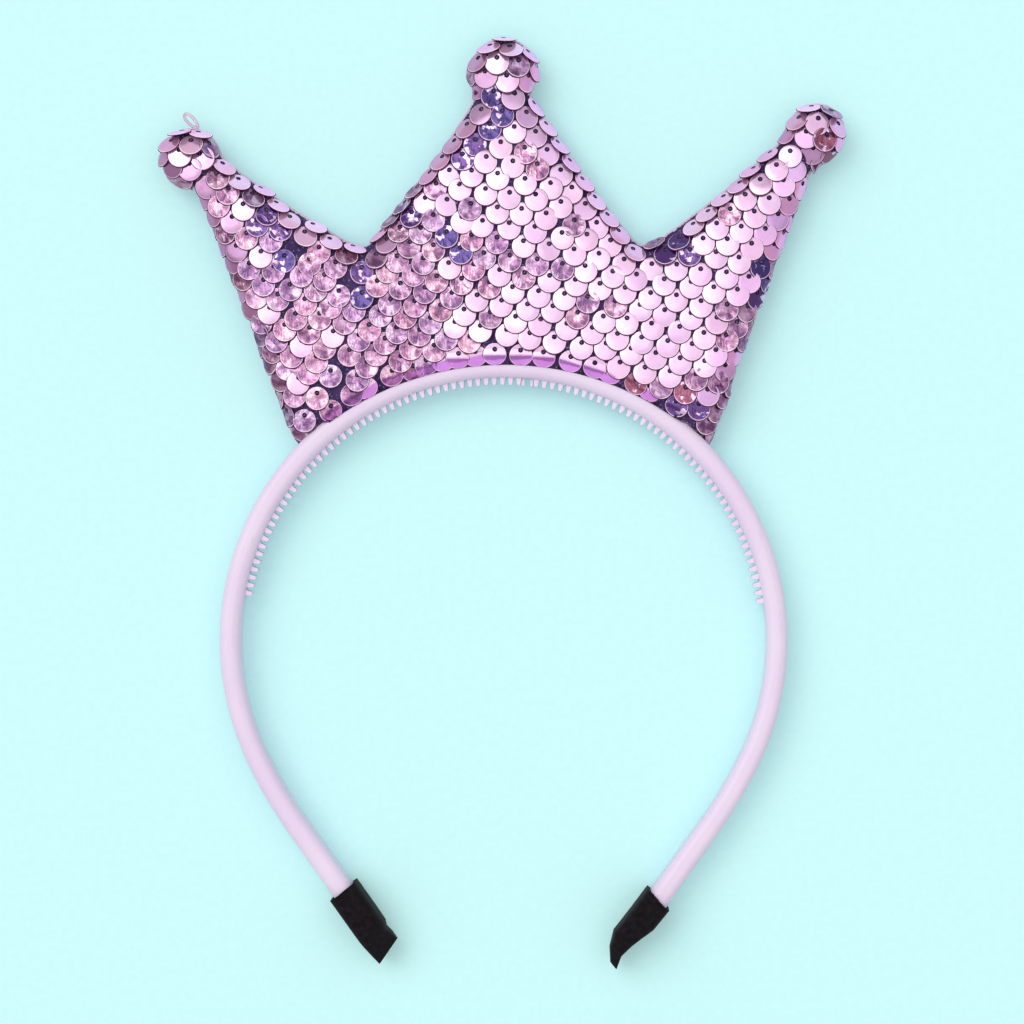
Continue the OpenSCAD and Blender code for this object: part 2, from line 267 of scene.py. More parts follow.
# Lights above, as (name, place, size, power), and the point that they face, in metres and watts
OVERHEAD_LIGHTS = [("overhead", (0.0, 0.10, 1.0), 1.4, 3.9), ("overhead_core", (-0.05, 0.27, 1.0), 0.3, 0.2)]
LIGHT_AIM = Vector((0.0, 0.03, 0.0))


def add_light(name, kind, toward, at, **values):
    """A light of one kind that shines from one direction, with its own values."""
    lamp = bpy.data.lights.new(name, kind)
    for key, value in values.items():
        setattr(lamp, key, value)
    made = bpy.data.objects.new(name, lamp)
    made.location = at
    made.rotation_euler = Vector(toward).to_track_quat("Z", "Y").to_euler()
    bpy.context.scene.collection.objects.link(made)


def add_lights():
    world = bpy.data.worlds.new("studio")
    world.use_nodes = True
    background = world.node_tree.nodes["Background"]
    background.inputs["Color"].default_value = (1.0, 0.96, 1.0, 1.0)
    background.inputs["Strength"].default_value = 0.54
    bpy.context.scene.world = world
    for name, at, size, power in OVERHEAD_LIGHTS:
        add_light(name, "AREA", Vector(at) - LIGHT_AIM, at, shape="DISK", size=size, energy=power)
    add_light("key", "SUN", (-0.45, 0.34, 0.80), (0, 0, 0), energy=0.9, angle=math.radians(42.0))
    bpy.context.scene.view_settings.view_transform = "Standard"


# Headband

def band_material():
    """Satin lilac plastic: faint flow marks and dust-fine grain."""
    made, tree, shader = material("band_plastic_satin", Specular_IOR_Level=0.45, Subsurface_Weight=0.15,
                                  Subsurface_Radius=(0.002, 0.0014, 0.002), Subsurface_Scale=0.5)
    flow = noise(tree, 60.0, 4.0)
    colour = ramp(tree, flow, [(0.3, (0.76, 0.63, 0.80)), (0.7, (0.80, 0.69, 0.84))])
    tree.links.new(colour, shader.inputs["Base Color"])
    rough = grey_ramp(tree, flow, [(0.25, 0.34), (0.75, 0.44)])
    tree.links.new(rough, shader.inputs["Roughness"])
    bump(tree, shader, noise(tree, 2500.0, 3.0), 0.000012)
    return made


def dress_headband():
    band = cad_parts["headband"]
    band.data.materials.clear()
    band.data.materials.append(band_material())


# Outline of the crown

def seam_ring():
    """The crown's outline in plan, in order, read from the seam level of its CAD solid."""
    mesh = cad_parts["crown"].data
    here = [tuple(np.round(np.array(v.co) / MM, 3)) for v in mesh.vertices]
    on_seam = [abs(p[2] - SEAM_Z) < 0.01 for p in here]
    beside = {}
    for edge in mesh.edges:
        a, b = edge.vertices
        if on_seam[a] and on_seam[b]:
            beside.setdefault(here[a][:2], set()).add(here[b][:2])
            beside.setdefault(here[b][:2], set()).add(here[a][:2])
    first = min(beside)
    ring, last = [first], None
    while True:
        ahead = [p for p in sorted(beside[ring[-1]]) if p != last]
        last = ring[-1]
        if ahead[0] == first or len(ring) > len(beside):
            break
        ring.append(ahead[0])
    ring = np.array(ring)
    turned = np.roll(ring, -1, 0)
    area = np.sum(ring[:, 0] * turned[:, 1] - turned[:, 0] * ring[:, 1])
    return ring if area > 0 else ring[::-1]


def outline_depth(at, ring):
    """How deep a plan point lies inside the outline, the nearest outline point and the way in."""
    along = np.roll(ring, -1, 0) - ring
    t = np.clip(np.sum((at - ring) * along, 1) / np.sum(along * along, 1), 0, 1)
    near = ring + along * t[:, None]
    away = np.linalg.norm(near - at, axis=1)
    k = int(np.argmin(away))
    inward = unit([-along[k][1], along[k][0]])
    sign = 1 if inside_outline(at, ring) else -1
    if away[k] > 0.3:
        inward = unit(at - near[k]) * sign
    return float(away[k]) * sign, near[k], inward


def inside_outline(at, ring):
    x, y = at
    x0, y0 = ring[:, 0], ring[:, 1]
    x1, y1 = np.roll(x0, -1), np.roll(y0, -1)
    crosses = (y0 > y) != (y1 > y)
    with np.errstate(divide="ignore", invalid="ignore"):
        cut = x0 + (y - y0) / (y1 - y0) * (x1 - x0)
    return bool(np.sum(crosses & (x < cut)) % 2)


# Pad

# Cell in which the crown's shape is remeshed, and how far the cloth simulation may move a point of it
REMESH_CELL = 1.2
SWELL_LIMIT = 0.5
# Lower edge of the front panel: radius of the seat and of the edge that lies over the band. The
# edge draws back to the seat with the square of its angle from the top, and a little more to the
# right than to the left.
SEAT_R = 59.95
LIP_R = 57.85
LIP_TURN = 0.006
LIP_SPREAD = 0.0006
# Top of the band, and how high over it the pad's lip and the edge of that are
BAND_TOP_Z = 10.05
LIP_GAP = 0.12
LIP_EDGE_GAP = 0.16
# Level from which the pad is its front panel, and within which this is drawn over the band in full
FRONT_Z = 9.3
FRONT_RISE = 0.9
# Radius from which the front panel is drawn over the band, and within how far that is in full
PULL_R = 67.0
PULL_REACH = 6.0
# Edge of the lip: what is this close to it is drawn on to its arc, how far inwards that is blended,
# and how steeply and how far in the panel slopes down to it
LIP_SNAP = 0.45
LIP_BLEND = 1.7
LIP_SLOPE = 0.55
CREASE_DEPTH = 1.85
# Foot corners: how far round each tip the pad is drawn out, and how strongly
FOOT_REACH = 9.0
FOOT_PULL = 0.75
# Side towards the band: how far from the seat it may lie after remeshing, and where it goes
SEAT_REACH = 2.2
SEAT_WALL_R = 59.8
# Radius within which the pad rests on the band, and how far past it the cloth gets free to swell
REST_R = SEAT_R + SEAT_REACH + 1.0
FREE_REACH = 3.0
# Groove of the seam
SEAM_GROOVE = 0.28
SEAM_HALF_WIDTH = 0.75
# Colours of the back cloth and of the turned-in edge, each dark and light
BACK_COLOURS = ((0.36, 0.19, 0.38), (0.50, 0.29, 0.52))
EDGE_COLOURS = ((0.60, 0.36, 0.54), (0.86, 0.62, 0.80))
# Panels: highest level of the back over the seam, least upward part of the front's direction, and
# the level over the seam from which the lip counts as front
BACK_TOP = -0.4
FRONT_LEAST_UP = 0.55
LIP_LEVEL = 3.4


def net_material():
    """Dark violet ground cloth under the sequins, with pale specks of thread in it."""
    made, tree, shader = material("crown_net", Roughness=0.8, Sheen_Weight=0.05, Specular_IOR_Level=0.2)
    weave = noise(tree, 1900.0, 2.0)
    cloud = noise(tree, 240.0, 3.0)
    tone = ramp(tree, cloud, [(0.3, (0.026, 0.010, 0.070)), (0.7, (0.072, 0.040, 0.135))])
    specks = ramp(tree, weave, [(0.61, (0, 0, 0)), (0.67, (1, 1, 1))])
    colour = blend_colours(tree, specks, tone, (0.22, 0.20, 0.30))
    tree.links.new(colour, shader.inputs["Base Color"])
    bump(tree, shader, weave, 0.00015)
    return made


def cloth_material(name, dark, light, pitch_mm=0.42):
    """Plain woven cloth: two crossing sets of threads."""
    made, tree, shader = material(name, Roughness=0.7, Sheen_Weight=0.35, Sheen_Roughness=0.4)
    at = node(tree, "SeparateXYZ", {0: place(tree)})
    turn = 2 * math.pi / (pitch_mm * MM)
    warp = math_node(tree, "SINE", math_node(tree, "MULTIPLY", at.outputs[0], turn))
    weft = math_node(tree, "SINE", math_node(tree, "MULTIPLY", at.outputs[1], turn))
    up = math_node(tree, "SINE", math_node(tree, "MULTIPLY", at.outputs[2], turn))
    weave = math_node(tree, "ADD", math_node(tree, "MULTIPLY", warp, weft), up)
    shade = math_node(tree, "MULTIPLY_ADD", weave, 0.12, 0.5)
    cloudy = math_node(tree, "MULTIPLY_ADD", noise(tree, 160.0, 3.0), 0.6, shade)
    colour = ramp(tree, cloudy, [(0.5, dark), (1.05, light)])
    tree.links.new(colour, shader.inputs["Base Color"])
    bump(tree, shader, weave, 0.00005)
    return made


def points_of(piece):
    """A piece's points, in millimetres, and the normals there."""
    vertices = piece.data.vertices
    return np.array([v.co for v in vertices]) / MM, np.array([v.normal for v in vertices])


def move_points(piece, co):
    piece.data.vertices.foreach_set("co", (co * MM).ravel())
    piece.data.update()


def hold_seam(pad):
    """Marks what the cloth simulation holds still: the side of the pad, and what rests on the band."""
    seam = pad.vertex_groups.new(name="seam")
    for vertex in pad.data.vertices:
        on_band = math.hypot(vertex.co[0], vertex.co[1]) < REST_R * MM
        if abs(vertex.normal[2]) < 0.5 or on_band:
            seam.add([vertex.index], 1.0, "REPLACE")


def inflate(pad):
    """Blows the pad up a little with Blender's cloth, so that its panels swell between the seams."""
    before, _ = points_of(pad)
    hold_seam(pad)
    use_only(pad)
    made = pad.modifiers.new("cloth", "CLOTH")
    made.settings.vertex_group_mass = "seam"
    made.settings.use_pressure = True
    made.settings.uniform_pressure_force = 4.0
    made.settings.effector_weights.gravity = 0.0
    made.settings.quality = 4
    made.settings.mass = 0.1
    made.collision_settings.use_collision = False
    made.collision_settings.use_self_collision = False
    scene = bpy.context.scene
    for step in range(1, 21):
        scene.frame_set(step)
    bpy.ops.object.modifier_apply(modifier=made.name)
    scene.frame_set(1)
    move = points_of(pad)[0] - before
    far = np.linalg.norm(move, axis=1, keepdims=True)
    move *= np.minimum(1.0, SWELL_LIMIT / np.maximum(far, 1e-6)) * free_share(before)[:, None]
    move_points(pad, before + move)


def pad_mesh():
    """The CAD crown's own shape, remeshed evenly and drawn in by the height of the sequins."""
    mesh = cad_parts["crown"].data.copy()
    mesh.name = "crown_pad"
    pad = bpy.data.objects.new("crown_pad", mesh)
    bpy.context.scene.collection.objects.link(pad)
    apply_modifier(pad, "WELD", merge_threshold=1e-6)
    apply_modifier(pad, "REMESH", mode="VOXEL", voxel_size=REMESH_CELL * MM)
    draw_in(pad, SWELL_LIMIT * 0.6)
    inflate(pad)
    apply_modifier(pad, "SMOOTH", factor=0.5, iterations=3)
    apply_modifier(pad, "SUBSURF", levels=1, render_levels=1)
    return pad


def free_share(co):
    """How free points of the pad are to swell: not at all near the band, which they rest on."""
    return np.clip((plan_radius(co) - REST_R) / FREE_REACH, 0, 1)


def draw_in(pad, extra):
    """Moves every point inwards along its normal, more on the front and back than at the sides."""
    co, normals = points_of(pad)
    flat = np.abs(normals[:, 2:])
    extra = extra * free_share(co)[:, None]
    inset = (PAD_INSET + extra) * flat + SIDE_INSET * (1 - flat)
    move_points(pad, co - normals * inset)


def lip_radius(points):
    """Radius of the front panel's lower edge, which lies over the outer edge of the band."""
    from_top = np.degrees(np.arctan2(points[:, 0], points[:, 1]))
    return np.minimum(SEAT_R, LIP_R + LIP_TURN * from_top + LIP_SPREAD * from_top ** 2)


def bulge_over_band(pad):
    """Draws the front panel's lower edge over the outer edge of the band, which it rests on."""
    co, _ = points_of(pad)
    r = plan_radius(co)
    high = np.clip((co[:, 2] - FRONT_Z) / FRONT_RISE, 0, 1)
    near = np.clip((PULL_R - r) / PULL_REACH, 0, 1)
    near = near * near * (3 - 2 * near)
    shift = (SEAT_WALL_R - lip_radius(co)) * high * near
    co[:, :2] *= ((r - shift) / r)[:, None]
    over = (r - shift < SEAT_R + 0.1) & (co[:, 2] > FRONT_Z)
    co[:, 2] = np.where(over, np.maximum(co[:, 2], BAND_TOP_Z + LIP_GAP), co[:, 2])
    trim_lip(co)
    move_points(pad, co)


def trim_lip(co):
    """Makes the lip an even arc, and slopes the panel down to it."""
    r = plan_radius(co)
    lip = lip_radius(co)
    past = r - lip
    near = (co[:, 2] > FRONT_Z) & (past < LIP_BLEND)
    even = np.where(past < LIP_SNAP, 0.06 * past, (past - LIP_SNAP) * LIP_BLEND / (LIP_BLEND - LIP_SNAP))
    share = np.clip((SEAT_R - lip) / 0.4, 0, 1)
    new_r = np.where(near, r + share * (even - past), r)
    co[:, :2] *= (new_r / r)[:, None]
    past = new_r - lip
    highest = BAND_TOP_Z + LIP_EDGE_GAP + LIP_SLOPE * np.maximum(past, 0.0)
    sloped = (co[:, 2] > highest) & (past < CREASE_DEPTH)
    co[:, 2] = np.where(sloped, highest, co[:, 2])


def close_seat(pad):
    """Draws the side that faces the band back out to the seat, from which remeshing shrinks it."""
    co, normals = points_of(pad)
    r = plan_radius(co)
    toward_band = -(co[:, 0] * normals[:, 0] + co[:, 1] * normals[:, 1]) / r
    share = np.clip((toward_band - 0.2) / 0.4, 0, 1) * (r < SEAT_R + SEAT_REACH)
    co[:, :2] *= (1 - share + share * SEAT_WALL_R / r)[:, None]
    move_points(pad, co)


def foot_tips(ring):
    """The two corners of the crown's outline in which its sides meet the band."""
    on_seat = ring[plan_radius(ring) < SEAT_R + 0.3]
    return on_seat[np.argmin(on_seat[:, 0])], on_seat[np.argmax(on_seat[:, 0])]


def sharpen_feet(pad, ring):
    """Draws the corners that remeshing rounds back out towards the crown's foot tips."""
    co, _ = points_of(pad)
    for tip in foot_tips(ring):
        away = np.hypot(co[:, 0] - tip[0], co[:, 1] - tip[1])
        share = FOOT_PULL * np.clip(1 - away / FOOT_REACH, 0, 1) ** 1.5
        co[:, :2] += (tip - co[:, :2]) * share[:, None]
    move_points(pad, co)


def groove_seam(pad):
    """Draws the seam between the front and the back panel in a little."""
    co, normals = points_of(pad)
    away = (co[:, 2] - SEAM_Z) / SEAM_HALF_WIDTH
    depth = SEAM_GROOVE * np.exp(-away * away) * (1 - np.abs(normals[:, 2]))
    move_points(pad, co - normals * depth[:, None])


def panel_of(face):
    """Number of the panel that a face is on: 0 front, 1 back, 2 the turned-in edge between them."""
    level = face.center[2] / MM - SEAM_Z
    if level < BACK_TOP:
        return 1
    on_lip = level > LIP_LEVEL and math.hypot(face.center[0], face.center[1]) < (SEAT_R + 1.0) * MM
    return 0 if on_lip or face.normal[2] >= FRONT_LEAST_UP else 2


def colour_panels(pad):
    mesh = pad.data
    mesh.materials.clear()
    mesh.materials.append(net_material())
    mesh.materials.append(cloth_material("crown_back", *BACK_COLOURS))
    mesh.materials.append(cloth_material("crown_edge", *EDGE_COLOURS))
    for face in mesh.polygons:
        face.material_index = panel_of(face)
        face.use_smooth = True


def make_pad(ring):
    pad = pad_mesh()
    sharpen_feet(pad, ring)
    close_seat(pad)
    bulge_over_band(pad)
    groove_seam(pad)
    colour_panels(pad)
    return pad


# Sequins

# Places of crumpled film, as (x, y, radius, share of the sequins there that are crumpled)
CRUMPLED_PATCHES = [
    (-30.0, 66.0, 19.0, 0.93), (-14.0, 78.0, 11.0, 0.85), (-52.0, 82.0, 9.0, 0.55),
    (-20.0, 92.0, 8.0, 0.6), (-46.0, 58.0, 14.0, 0.9), (-6.0, 79.0, 9.0, 0.75),
    (8.0, 77.0, 6.0, 0.7), (38.0, 50.0, 9.0, 0.8), (54.0, 66.0, 9.0, 0.45),
    (-58.0, 92.0, 7.0, 0.4), (44.0, 44.0, 8.0, 0.9), (-8.0, 61.0, 5.0, 0.9),
]
# Middles of the balls on the tips, and how near to one a sequin is on it. Sequins hang unevenly
# there: how much they turn, lift and tilt sideways, in degrees, and their scale.
BALLS = [(-65.8, 101.9), (-0.1, 119.9), (65.7, 106.9)]
BALL_REACH = 7.0
BALL_TURN = 13.0
BALL_LIFT = 5.0
BALL_SIDE_TILT = 4.0
BALL_SCALE = 1.03
# Share of crumpled sequins elsewhere
CRUMPLED_ELSEWHERE = 0.1
# Odd sequins that show their dark side or a coloured glint painted into their colour, as (x, y, hue):
# 0 dark violet, 1 blue, 2 reddish
ODD_SEQUINS = [
    (-50.9, 89.4, 0), (-46.9, 88.2, 0), (-46.9, 81.8, 1), (-29.0, 77.4, 0), (-31.1, 74.5, 1),
    (-7.9, 104.0, 0), (-19.1, 89.4, 0), (-1.6, 116.4, 1), (-2.0, 109.9, 1), (-4.5, 107.6, 1),
    (-9.2, 80.8, 1), (-11.3, 84.4, 1), (37.9, 83.3, 0), (33.6, 80.4, 0), (28.6, 79.9, 0),
    (54.3, 81.4, 1), (53.9, 75.1, 0), (67.6, 103.6, 2), (26.3, 55.9, 2), (37.4, 53.8, 2),
    (35.1, 51.2, 0), (40.8, 47.9, 0),
]
# How near to a place above a sequin is the odd one
ODD_REACH = 2.4
# Last row over the band: depths between which a sequin belongs to it, depth of its holes, how far it
# bends down beyond the crease, and how far the film of a sequin reaches from its hole
LAST_ROW_FROM = 0.95
LAST_ROW_TO = 4.85
LAST_ROW_DEPTH = 2.75
CREASE_DEG = 33.0
DISC_REACH = 3.4
# Least height of the last row over the panel
REST_GAP = 0.08
# Where the rows leave the lower edge bare: how far round from the top more sequins are put there, how
# far from the last row's holes and from other holes, and how high and tilted they lie under the others
EDGE_END_DEG = 39.0
EDGE_LEAST = 3.2
EDGE_LEAST_ABOVE = 1.8
EDGE_LIFT = 0.12
EDGE_TILT = 1.0
# How far sequins follow the curve of steep fabric, and of fabric that is almost upright
FOLLOW = 0.65
FOLLOW_STEEP = 0.92
# Steepest fabric that still carries sequins, at the sides and where it faces up
STEEPEST = 78.0
STEEPEST_UP = 70.0
# Lift of the free edge, its spread and its least, and what is added where a sequin faces up, in degrees
LIFT_DEG = 5.2
LIFT_SPREAD = 1.7
LEAST_LIFT = 2.0
LIFT_UP = 6.0
# Spread of how far sequins turn sideways, what steep fabric adds to it, and of how far they tilt
TURN_SPREAD = 4.0
STEEP_TURN_SPREAD = 6.0
SIDE_TILT = 1.6
# Share in which sequins that face up don't follow the curve of the fabric
STAND_OFF = 0.75
# Radius in which the flat fabric bends round the sides
BEND_R = 7.6
# How far below its hole the fabric is felt under a sequin, and how strongly
HANG_REACH = 2.0
HANG_SHARE = 0.7
# How unevenly the sequins are sewn on
UNEVEN = 0.2


def lattice_points():
    """Places of the holes on the flat fabric, row by row."""
    points = []
    rng = random.Random(17)
    for j in range(-22, 16):
        for i in range(-30, 26):
            at = LATTICE_ORIGIN + i * ROW_STEP + j * COLUMN_STEP
            at += i * j * STEP_DRIFT + j * j * COLUMN_DRIFT - i * i * ROW_BEND
            at += (rng.gauss(0.0, UNEVEN), rng.gauss(0.0, UNEVEN))
            if abs(at[0]) < 84 and 38 < at[1] < 136:
                points.append(at)
    return points


def edge_points():
    """Places of holes close together along the lower edge of the front panel."""
    turns = np.radians(np.arange(-EDGE_END_DEG, EDGE_END_DEG, 0.5))
    ways = np.stack([np.sin(turns), np.cos(turns)], 1)
    return ways * (lip_radius(ways) + LAST_ROW_DEPTH)[:, None]


def sequin_lean(slope_deg, up):
    """How far a sequin leans on sloping fabric: less than that until it is steep. Facing up it stays
    almost flat on the row below for longer, and then turns faster."""
    stiff = min(1.0, max(0.15, (slope_deg - 6.0) / 50.0))
    stiff_up = min(1.0, max(0.12, (slope_deg - 19.0) / 15.0))
    return slope_deg * (stiff + (stiff_up - stiff) * upward_share(up))


def upward_share(up):
    """How much a side counts as facing up, from the upward part of its direction in plan."""
    return min(1.0, max(0.0, (up + 0.2) / 0.5))


def on_pad(tree, at, slope_deg, hang_deg, inward):
    """The pad's surface where the fabric slopes: its point, and the way a sequin faces there."""
    lean = math.radians(slope_deg)
    guess = np.array([at[0], at[1], SEAM_Z + (CROWN_TOP_Z - SEAM_Z) * math.cos(lean)])
    hit, normal, _, _ = tree.find_nearest(Vector(guess * MM))
    normal = np.array(normal)
    more = hang_deg - slope_deg
    flat = unit(np.array([normal[0], normal[1], 0.0]) - 0.02 * more * np.array([*inward, 0.0]))
    steep = math.degrees(math.acos(min(1.0, max(-1.0, normal[2]))))
    lean = math.radians(sequin_lean(0.5 * (steep + slope_deg) + HANG_SHARE * more, flat[1]))
    return np.array(hit) / MM, flat * math.sin(lean) + UP * math.cos(lean)


def front_outline(ring):
    """The outline of the front panel: the seam, and over the band the edge of its lip."""
    r = plan_radius(ring)
    on_seat = r < SEAT_R + 0.3
    lip = lip_radius(ring)
    return ring * (1 - on_seat * (SEAT_R - lip) / r)[:, None]


def wrap(at, ring):
    """Where a point of the flat fabric lands once that is wrapped round the side, and how steep the
    fabric is there and under the sequin that hangs from there."""
    depth, near, inward = outline_depth(at, ring)
    seat = np.hypot(*near) < SEAT_R + 0.4
    if seat:
        if LAST_ROW_FROM < depth < LAST_ROW_TO:
            depth = LAST_ROW_DEPTH + 0.15 * (depth - LAST_ROW_DEPTH)
            at = near + inward * depth
        return at, 0.0, 0.0, inward, depth, True
    slope = math.degrees(max(0.0, ROUND_DEPTH - depth) / BEND_R)
    below, _, below_inward = outline_depth(np.array(at) - (0.0, HANG_REACH), ring)
    hang_slope = slope
    if below < ROUND_DEPTH and below_inward[1] > -0.1:
        hang_slope = max(slope, math.degrees((ROUND_DEPTH - below) / BEND_R))
        inward = below_inward if depth >= ROUND_DEPTH else inward
    plan = np.array(at, dtype=float)
    if depth < ROUND_DEPTH:
        plan = near + inward * ROUND_DEPTH * (1 - math.sin(math.radians(min(slope, 90.0))))
    return plan, slope, hang_slope, inward, depth, False


def odd_kind(at):
    for x, y, kind in ODD_SEQUINS:
        if math.hypot(at[0] - x, at[1] - y) < ODD_REACH:
            return kind
    return None


def crumple_share(at):
    share = CRUMPLED_ELSEWHERE
    for x, y, radius, here in CRUMPLED_PATCHES:
        if math.hypot(at[0] - x, at[1] - y) < radius:
            share = max(share, here)
    return share


def disc_rows(top):
    """Rows of a sequin's section, from under the hole, over the top and round the rim: each is
    its share of the way from the hole to the rim, its depth, and its zone (0 top, 1 rim, 2 back). The
    dark back reaches over the edge of the top, where it is a painted shadow outline."""
    rows = [(0.0, DISC_T, 2), (0.0, 0.0, 0)]
    rows += [(s, 0.0, 0) for s in top]
    rows += [(0.935, 0.02, 1), (1.0, 0.6 * DISC_T, 2), (0.985, DISC_T, 2)]
    return rows


def disc_shape(rows, sides, rng, crumple, dome):
    """Points of one sequin round its hole at the origin, in (right, up, out), row by row."""
    a = np.arange(sides) * 2 * math.pi / sides
    out = []
    folds = [(rng.uniform(0, math.pi), rng.uniform(-1.2, 1.2), rng.uniform(0.4, 1.0)) for _ in range(5)]
    spokes = rng.choice((5, 6, 7, 8))
    turn = rng.uniform(0, 2 * math.pi)
    for share, depth, _ in rows:
        radius = HOLE_R + (DISC_R - HOLE_R) * share
        x = radius * np.cos(a)
        y = radius * np.sin(a) - HOLE_RISE * share
        from_middle = np.hypot(x, y + HOLE_RISE) / DISC_R
        lift = -dome * from_middle ** 2
        if crumple > 0:
            calm = 1 - 0.55 * np.minimum(from_middle, 1.0) ** 2
            round_middle = np.arctan2(y + HOLE_RISE, x) * spokes + turn
            wave = np.abs(((round_middle / math.pi) % 2) - 1) - 0.5
            lift = lift + crumple * wave * np.minimum(from_middle, 0.9)
            for way, offset, size in folds:
                reach = x * math.cos(way) + (y + HOLE_RISE) * math.sin(way) - offset
                lift = lift + crumple * 0.42 * size * (np.abs(reach) - 1.0) * calm
        out.append(np.stack([x, y, lift - depth], 1))
    return np.concatenate(out)


def disc_faces(rows, sides):
    """Faces of one sequin, and the zone of each."""
    faces, zones = [], []
    count = len(rows)
    for i in range(count):
        j = (i + 1) % count
        zone = max(rows[i][2], rows[j][2])
        for k in range(sides):
            a, b = i * sides + k, i * sides + (k + 1) % sides
            c, d = j * sides + (k + 1) % sides, j * sides + k
            faces.append((a, d, c, b))
            zones.append(zone)
    return faces, zones


class Pattern:
    """The mesh that all sequins of one sort start from."""

    def __init__(self, rows, sides):
        self.rows, self.sides = rows, sides
        self.faces, self.zones = disc_faces(rows, sides)
        self.depths = np.repeat([depth for _, depth, _ in rows], sides)


FLAT = Pattern(disc_rows((0.4, 0.885)), 26)
CRUMPLED = Pattern(disc_rows((0.2, 0.42, 0.64, 0.8, 0.885)), 28)
BENT = Pattern(disc_rows((0.1, 0.2, 0.3, 0.4, 0.5, 0.6, 0.7, 0.8, 0.885)), 48)
# Height of the hole over the fabric
DISC_LIFT = 0.3


class Batch:
    """Sequins that are joined into one mesh."""

    def __init__(self):
        self.count = 0
        self.points, self.all_faces, self.all_zones, self.tones = [], [], [], []

    def add(self, pattern, points, tone):
        base = self.count
        self.count += len(points)
        self.points.append(points)
        self.all_faces += [tuple(base + v for v in face) for face in pattern.faces]
        self.all_zones += pattern.zones
        self.tones.append(tone)

    def build(self, name, materials, smooth):
        piece = mesh_object(name, np.concatenate(self.points), self.all_faces, materials, smooth)
        piece.data.polygons.foreach_set("material_index", self.all_zones)
        tones = piece.data.attributes.new("sequin", "FLOAT_COLOR", "POINT")
        tones.data.foreach_set("color", np.concatenate(self.tones).astype(np.float32).ravel())
        return piece


class Sequin:
    """One sequin's place: its hole, the way it faces, and where it is on the flat fabric."""

    def __init__(self, hole, normal, slope, depth, seat, plan, inward, under):
        self.hole, self.normal, self.slope, self.under = hole, normal, slope, under
        self.depth, self.seat, self.plan, self.inward = depth, seat, plan, inward
        self.upward = min(1.0, 1.6 * max(0.0, normal[1]))
        self.bends = seat and depth < CREASE_DEPTH + DISC_REACH
        self.on_ball = any(math.hypot(hole[0] - x, hole[1] - y) < BALL_REACH for x, y in BALLS)
        self.lift = EDGE_LIFT if under else DISC_LIFT


def place_sequins(pad, ring):
    """Where every sequin is sewn on, from the flat fabric's rows."""
    ring = front_outline(ring)
    mesh = pad.data
    tree = BVHTree.FromPolygons([v.co for v in mesh.vertices], [tuple(f.vertices) for f in mesh.polygons])
    found = []
    for at in lattice_points():
        sew_on(at, ring, tree, found, under=False)
    for at in edge_points():
        sew_on(at, ring, tree, found, under=True)
    return found, tree


def sew_on(at, ring, tree, found, under):
    """Adds the sequin of one hole to those found, unless the fabric there is too steep, or another
    hole is too close."""
    plan, slope, hang_slope, inward, depth, seat = wrap(at, ring)
    too_steep = slope > (STEEPEST_UP if inward[1] < -0.3 else STEEPEST)
    if seat and depth < LAST_ROW_FROM:
        return
    if not seat and (too_steep or under):
        return
    hole, normal = on_pad(tree, plan, slope, hang_slope, inward)
    least = EDGE_LEAST if under else 2.9 - min(0.6, slope / 50.0)
    for other in found:
        above = under and not (other.seat and other.depth < LAST_ROW_TO)
        if np.linalg.norm(hole - other.hole) < (EDGE_LEAST_ABOVE if above else least):
            return
    lean = max(slope, HANG_SHARE * hang_slope)
    found.append(Sequin(hole, normal, lean, depth, seat, plan, inward, under))


def lay(points, sequin, tilt_deg, turn_deg):
    """Puts a sequin's points on the fabric. It hangs from its hole and leans on the row below."""
    down = np.array([0.0, -1.0, 0.0])
    down = unit(down - sequin.normal * np.dot(down, sequin.normal))
    right = np.cross(sequin.normal, down)
    turn = math.radians(turn_deg)
    hang = unit(down * math.cos(turn) + right * math.sin(turn))
    tilt = math.radians(tilt_deg)
    out = unit(sequin.normal * math.cos(tilt) - hang * math.sin(tilt))
    up = -unit(hang - out * np.dot(hang, out))
    side = np.cross(up, out)
    origin = sequin.hole + sequin.normal * sequin.lift
    return origin + points[:, :1] * side + points[:, 1:2] * up + points[:, 2:] * out


def follow(points, placed, tree, share, lift, tilt_deg):
    """Bends a sequin that was laid flat part of the way on to the curve of the pad under it."""
    out = []
    lean = math.tan(math.radians(tilt_deg))
    for local, point in zip(points, placed):
        hit, normal, _, _ = tree.find_nearest(Vector(point * MM))
        height = lift + local[2] + lean * max(0.0, -local[1])
        bent = np.array(hit) / MM + np.array(normal) * height
        out.append(point * (1 - share) + bent * share)
    return np.array(out)


def bend_down(points, inward, crease):
    """Folds the part of a sequin beyond a crease backwards. The crease runs along the band."""
    below = np.maximum(-(points[:, :2] @ inward) - crease, 0.0)
    turn = math.radians(CREASE_DEG)
    back = inward * (below * (1 - math.cos(turn)))[:, None]
    return np.column_stack([points[:, :2] + back, points[:, 2] - below * math.sin(turn)]), below


def tuck_in(points):
    """Folds what would stick out over the band down along the lower edge of the front panel."""
    r = plan_radius(points)
    over = np.maximum(lip_radius(points) - r, 0.0)
    out = points.copy()
    out[:, :2] *= ((r + 0.96 * over) / r)[:, None]
    lowest = BAND_TOP_Z + 0.06 + 0.3 * (points[:, 2] - points[:, 2].min())
    out[:, 2] = np.where(over > 0, np.maximum(out[:, 2] - 1.1 * over, lowest), out[:, 2])
    return out


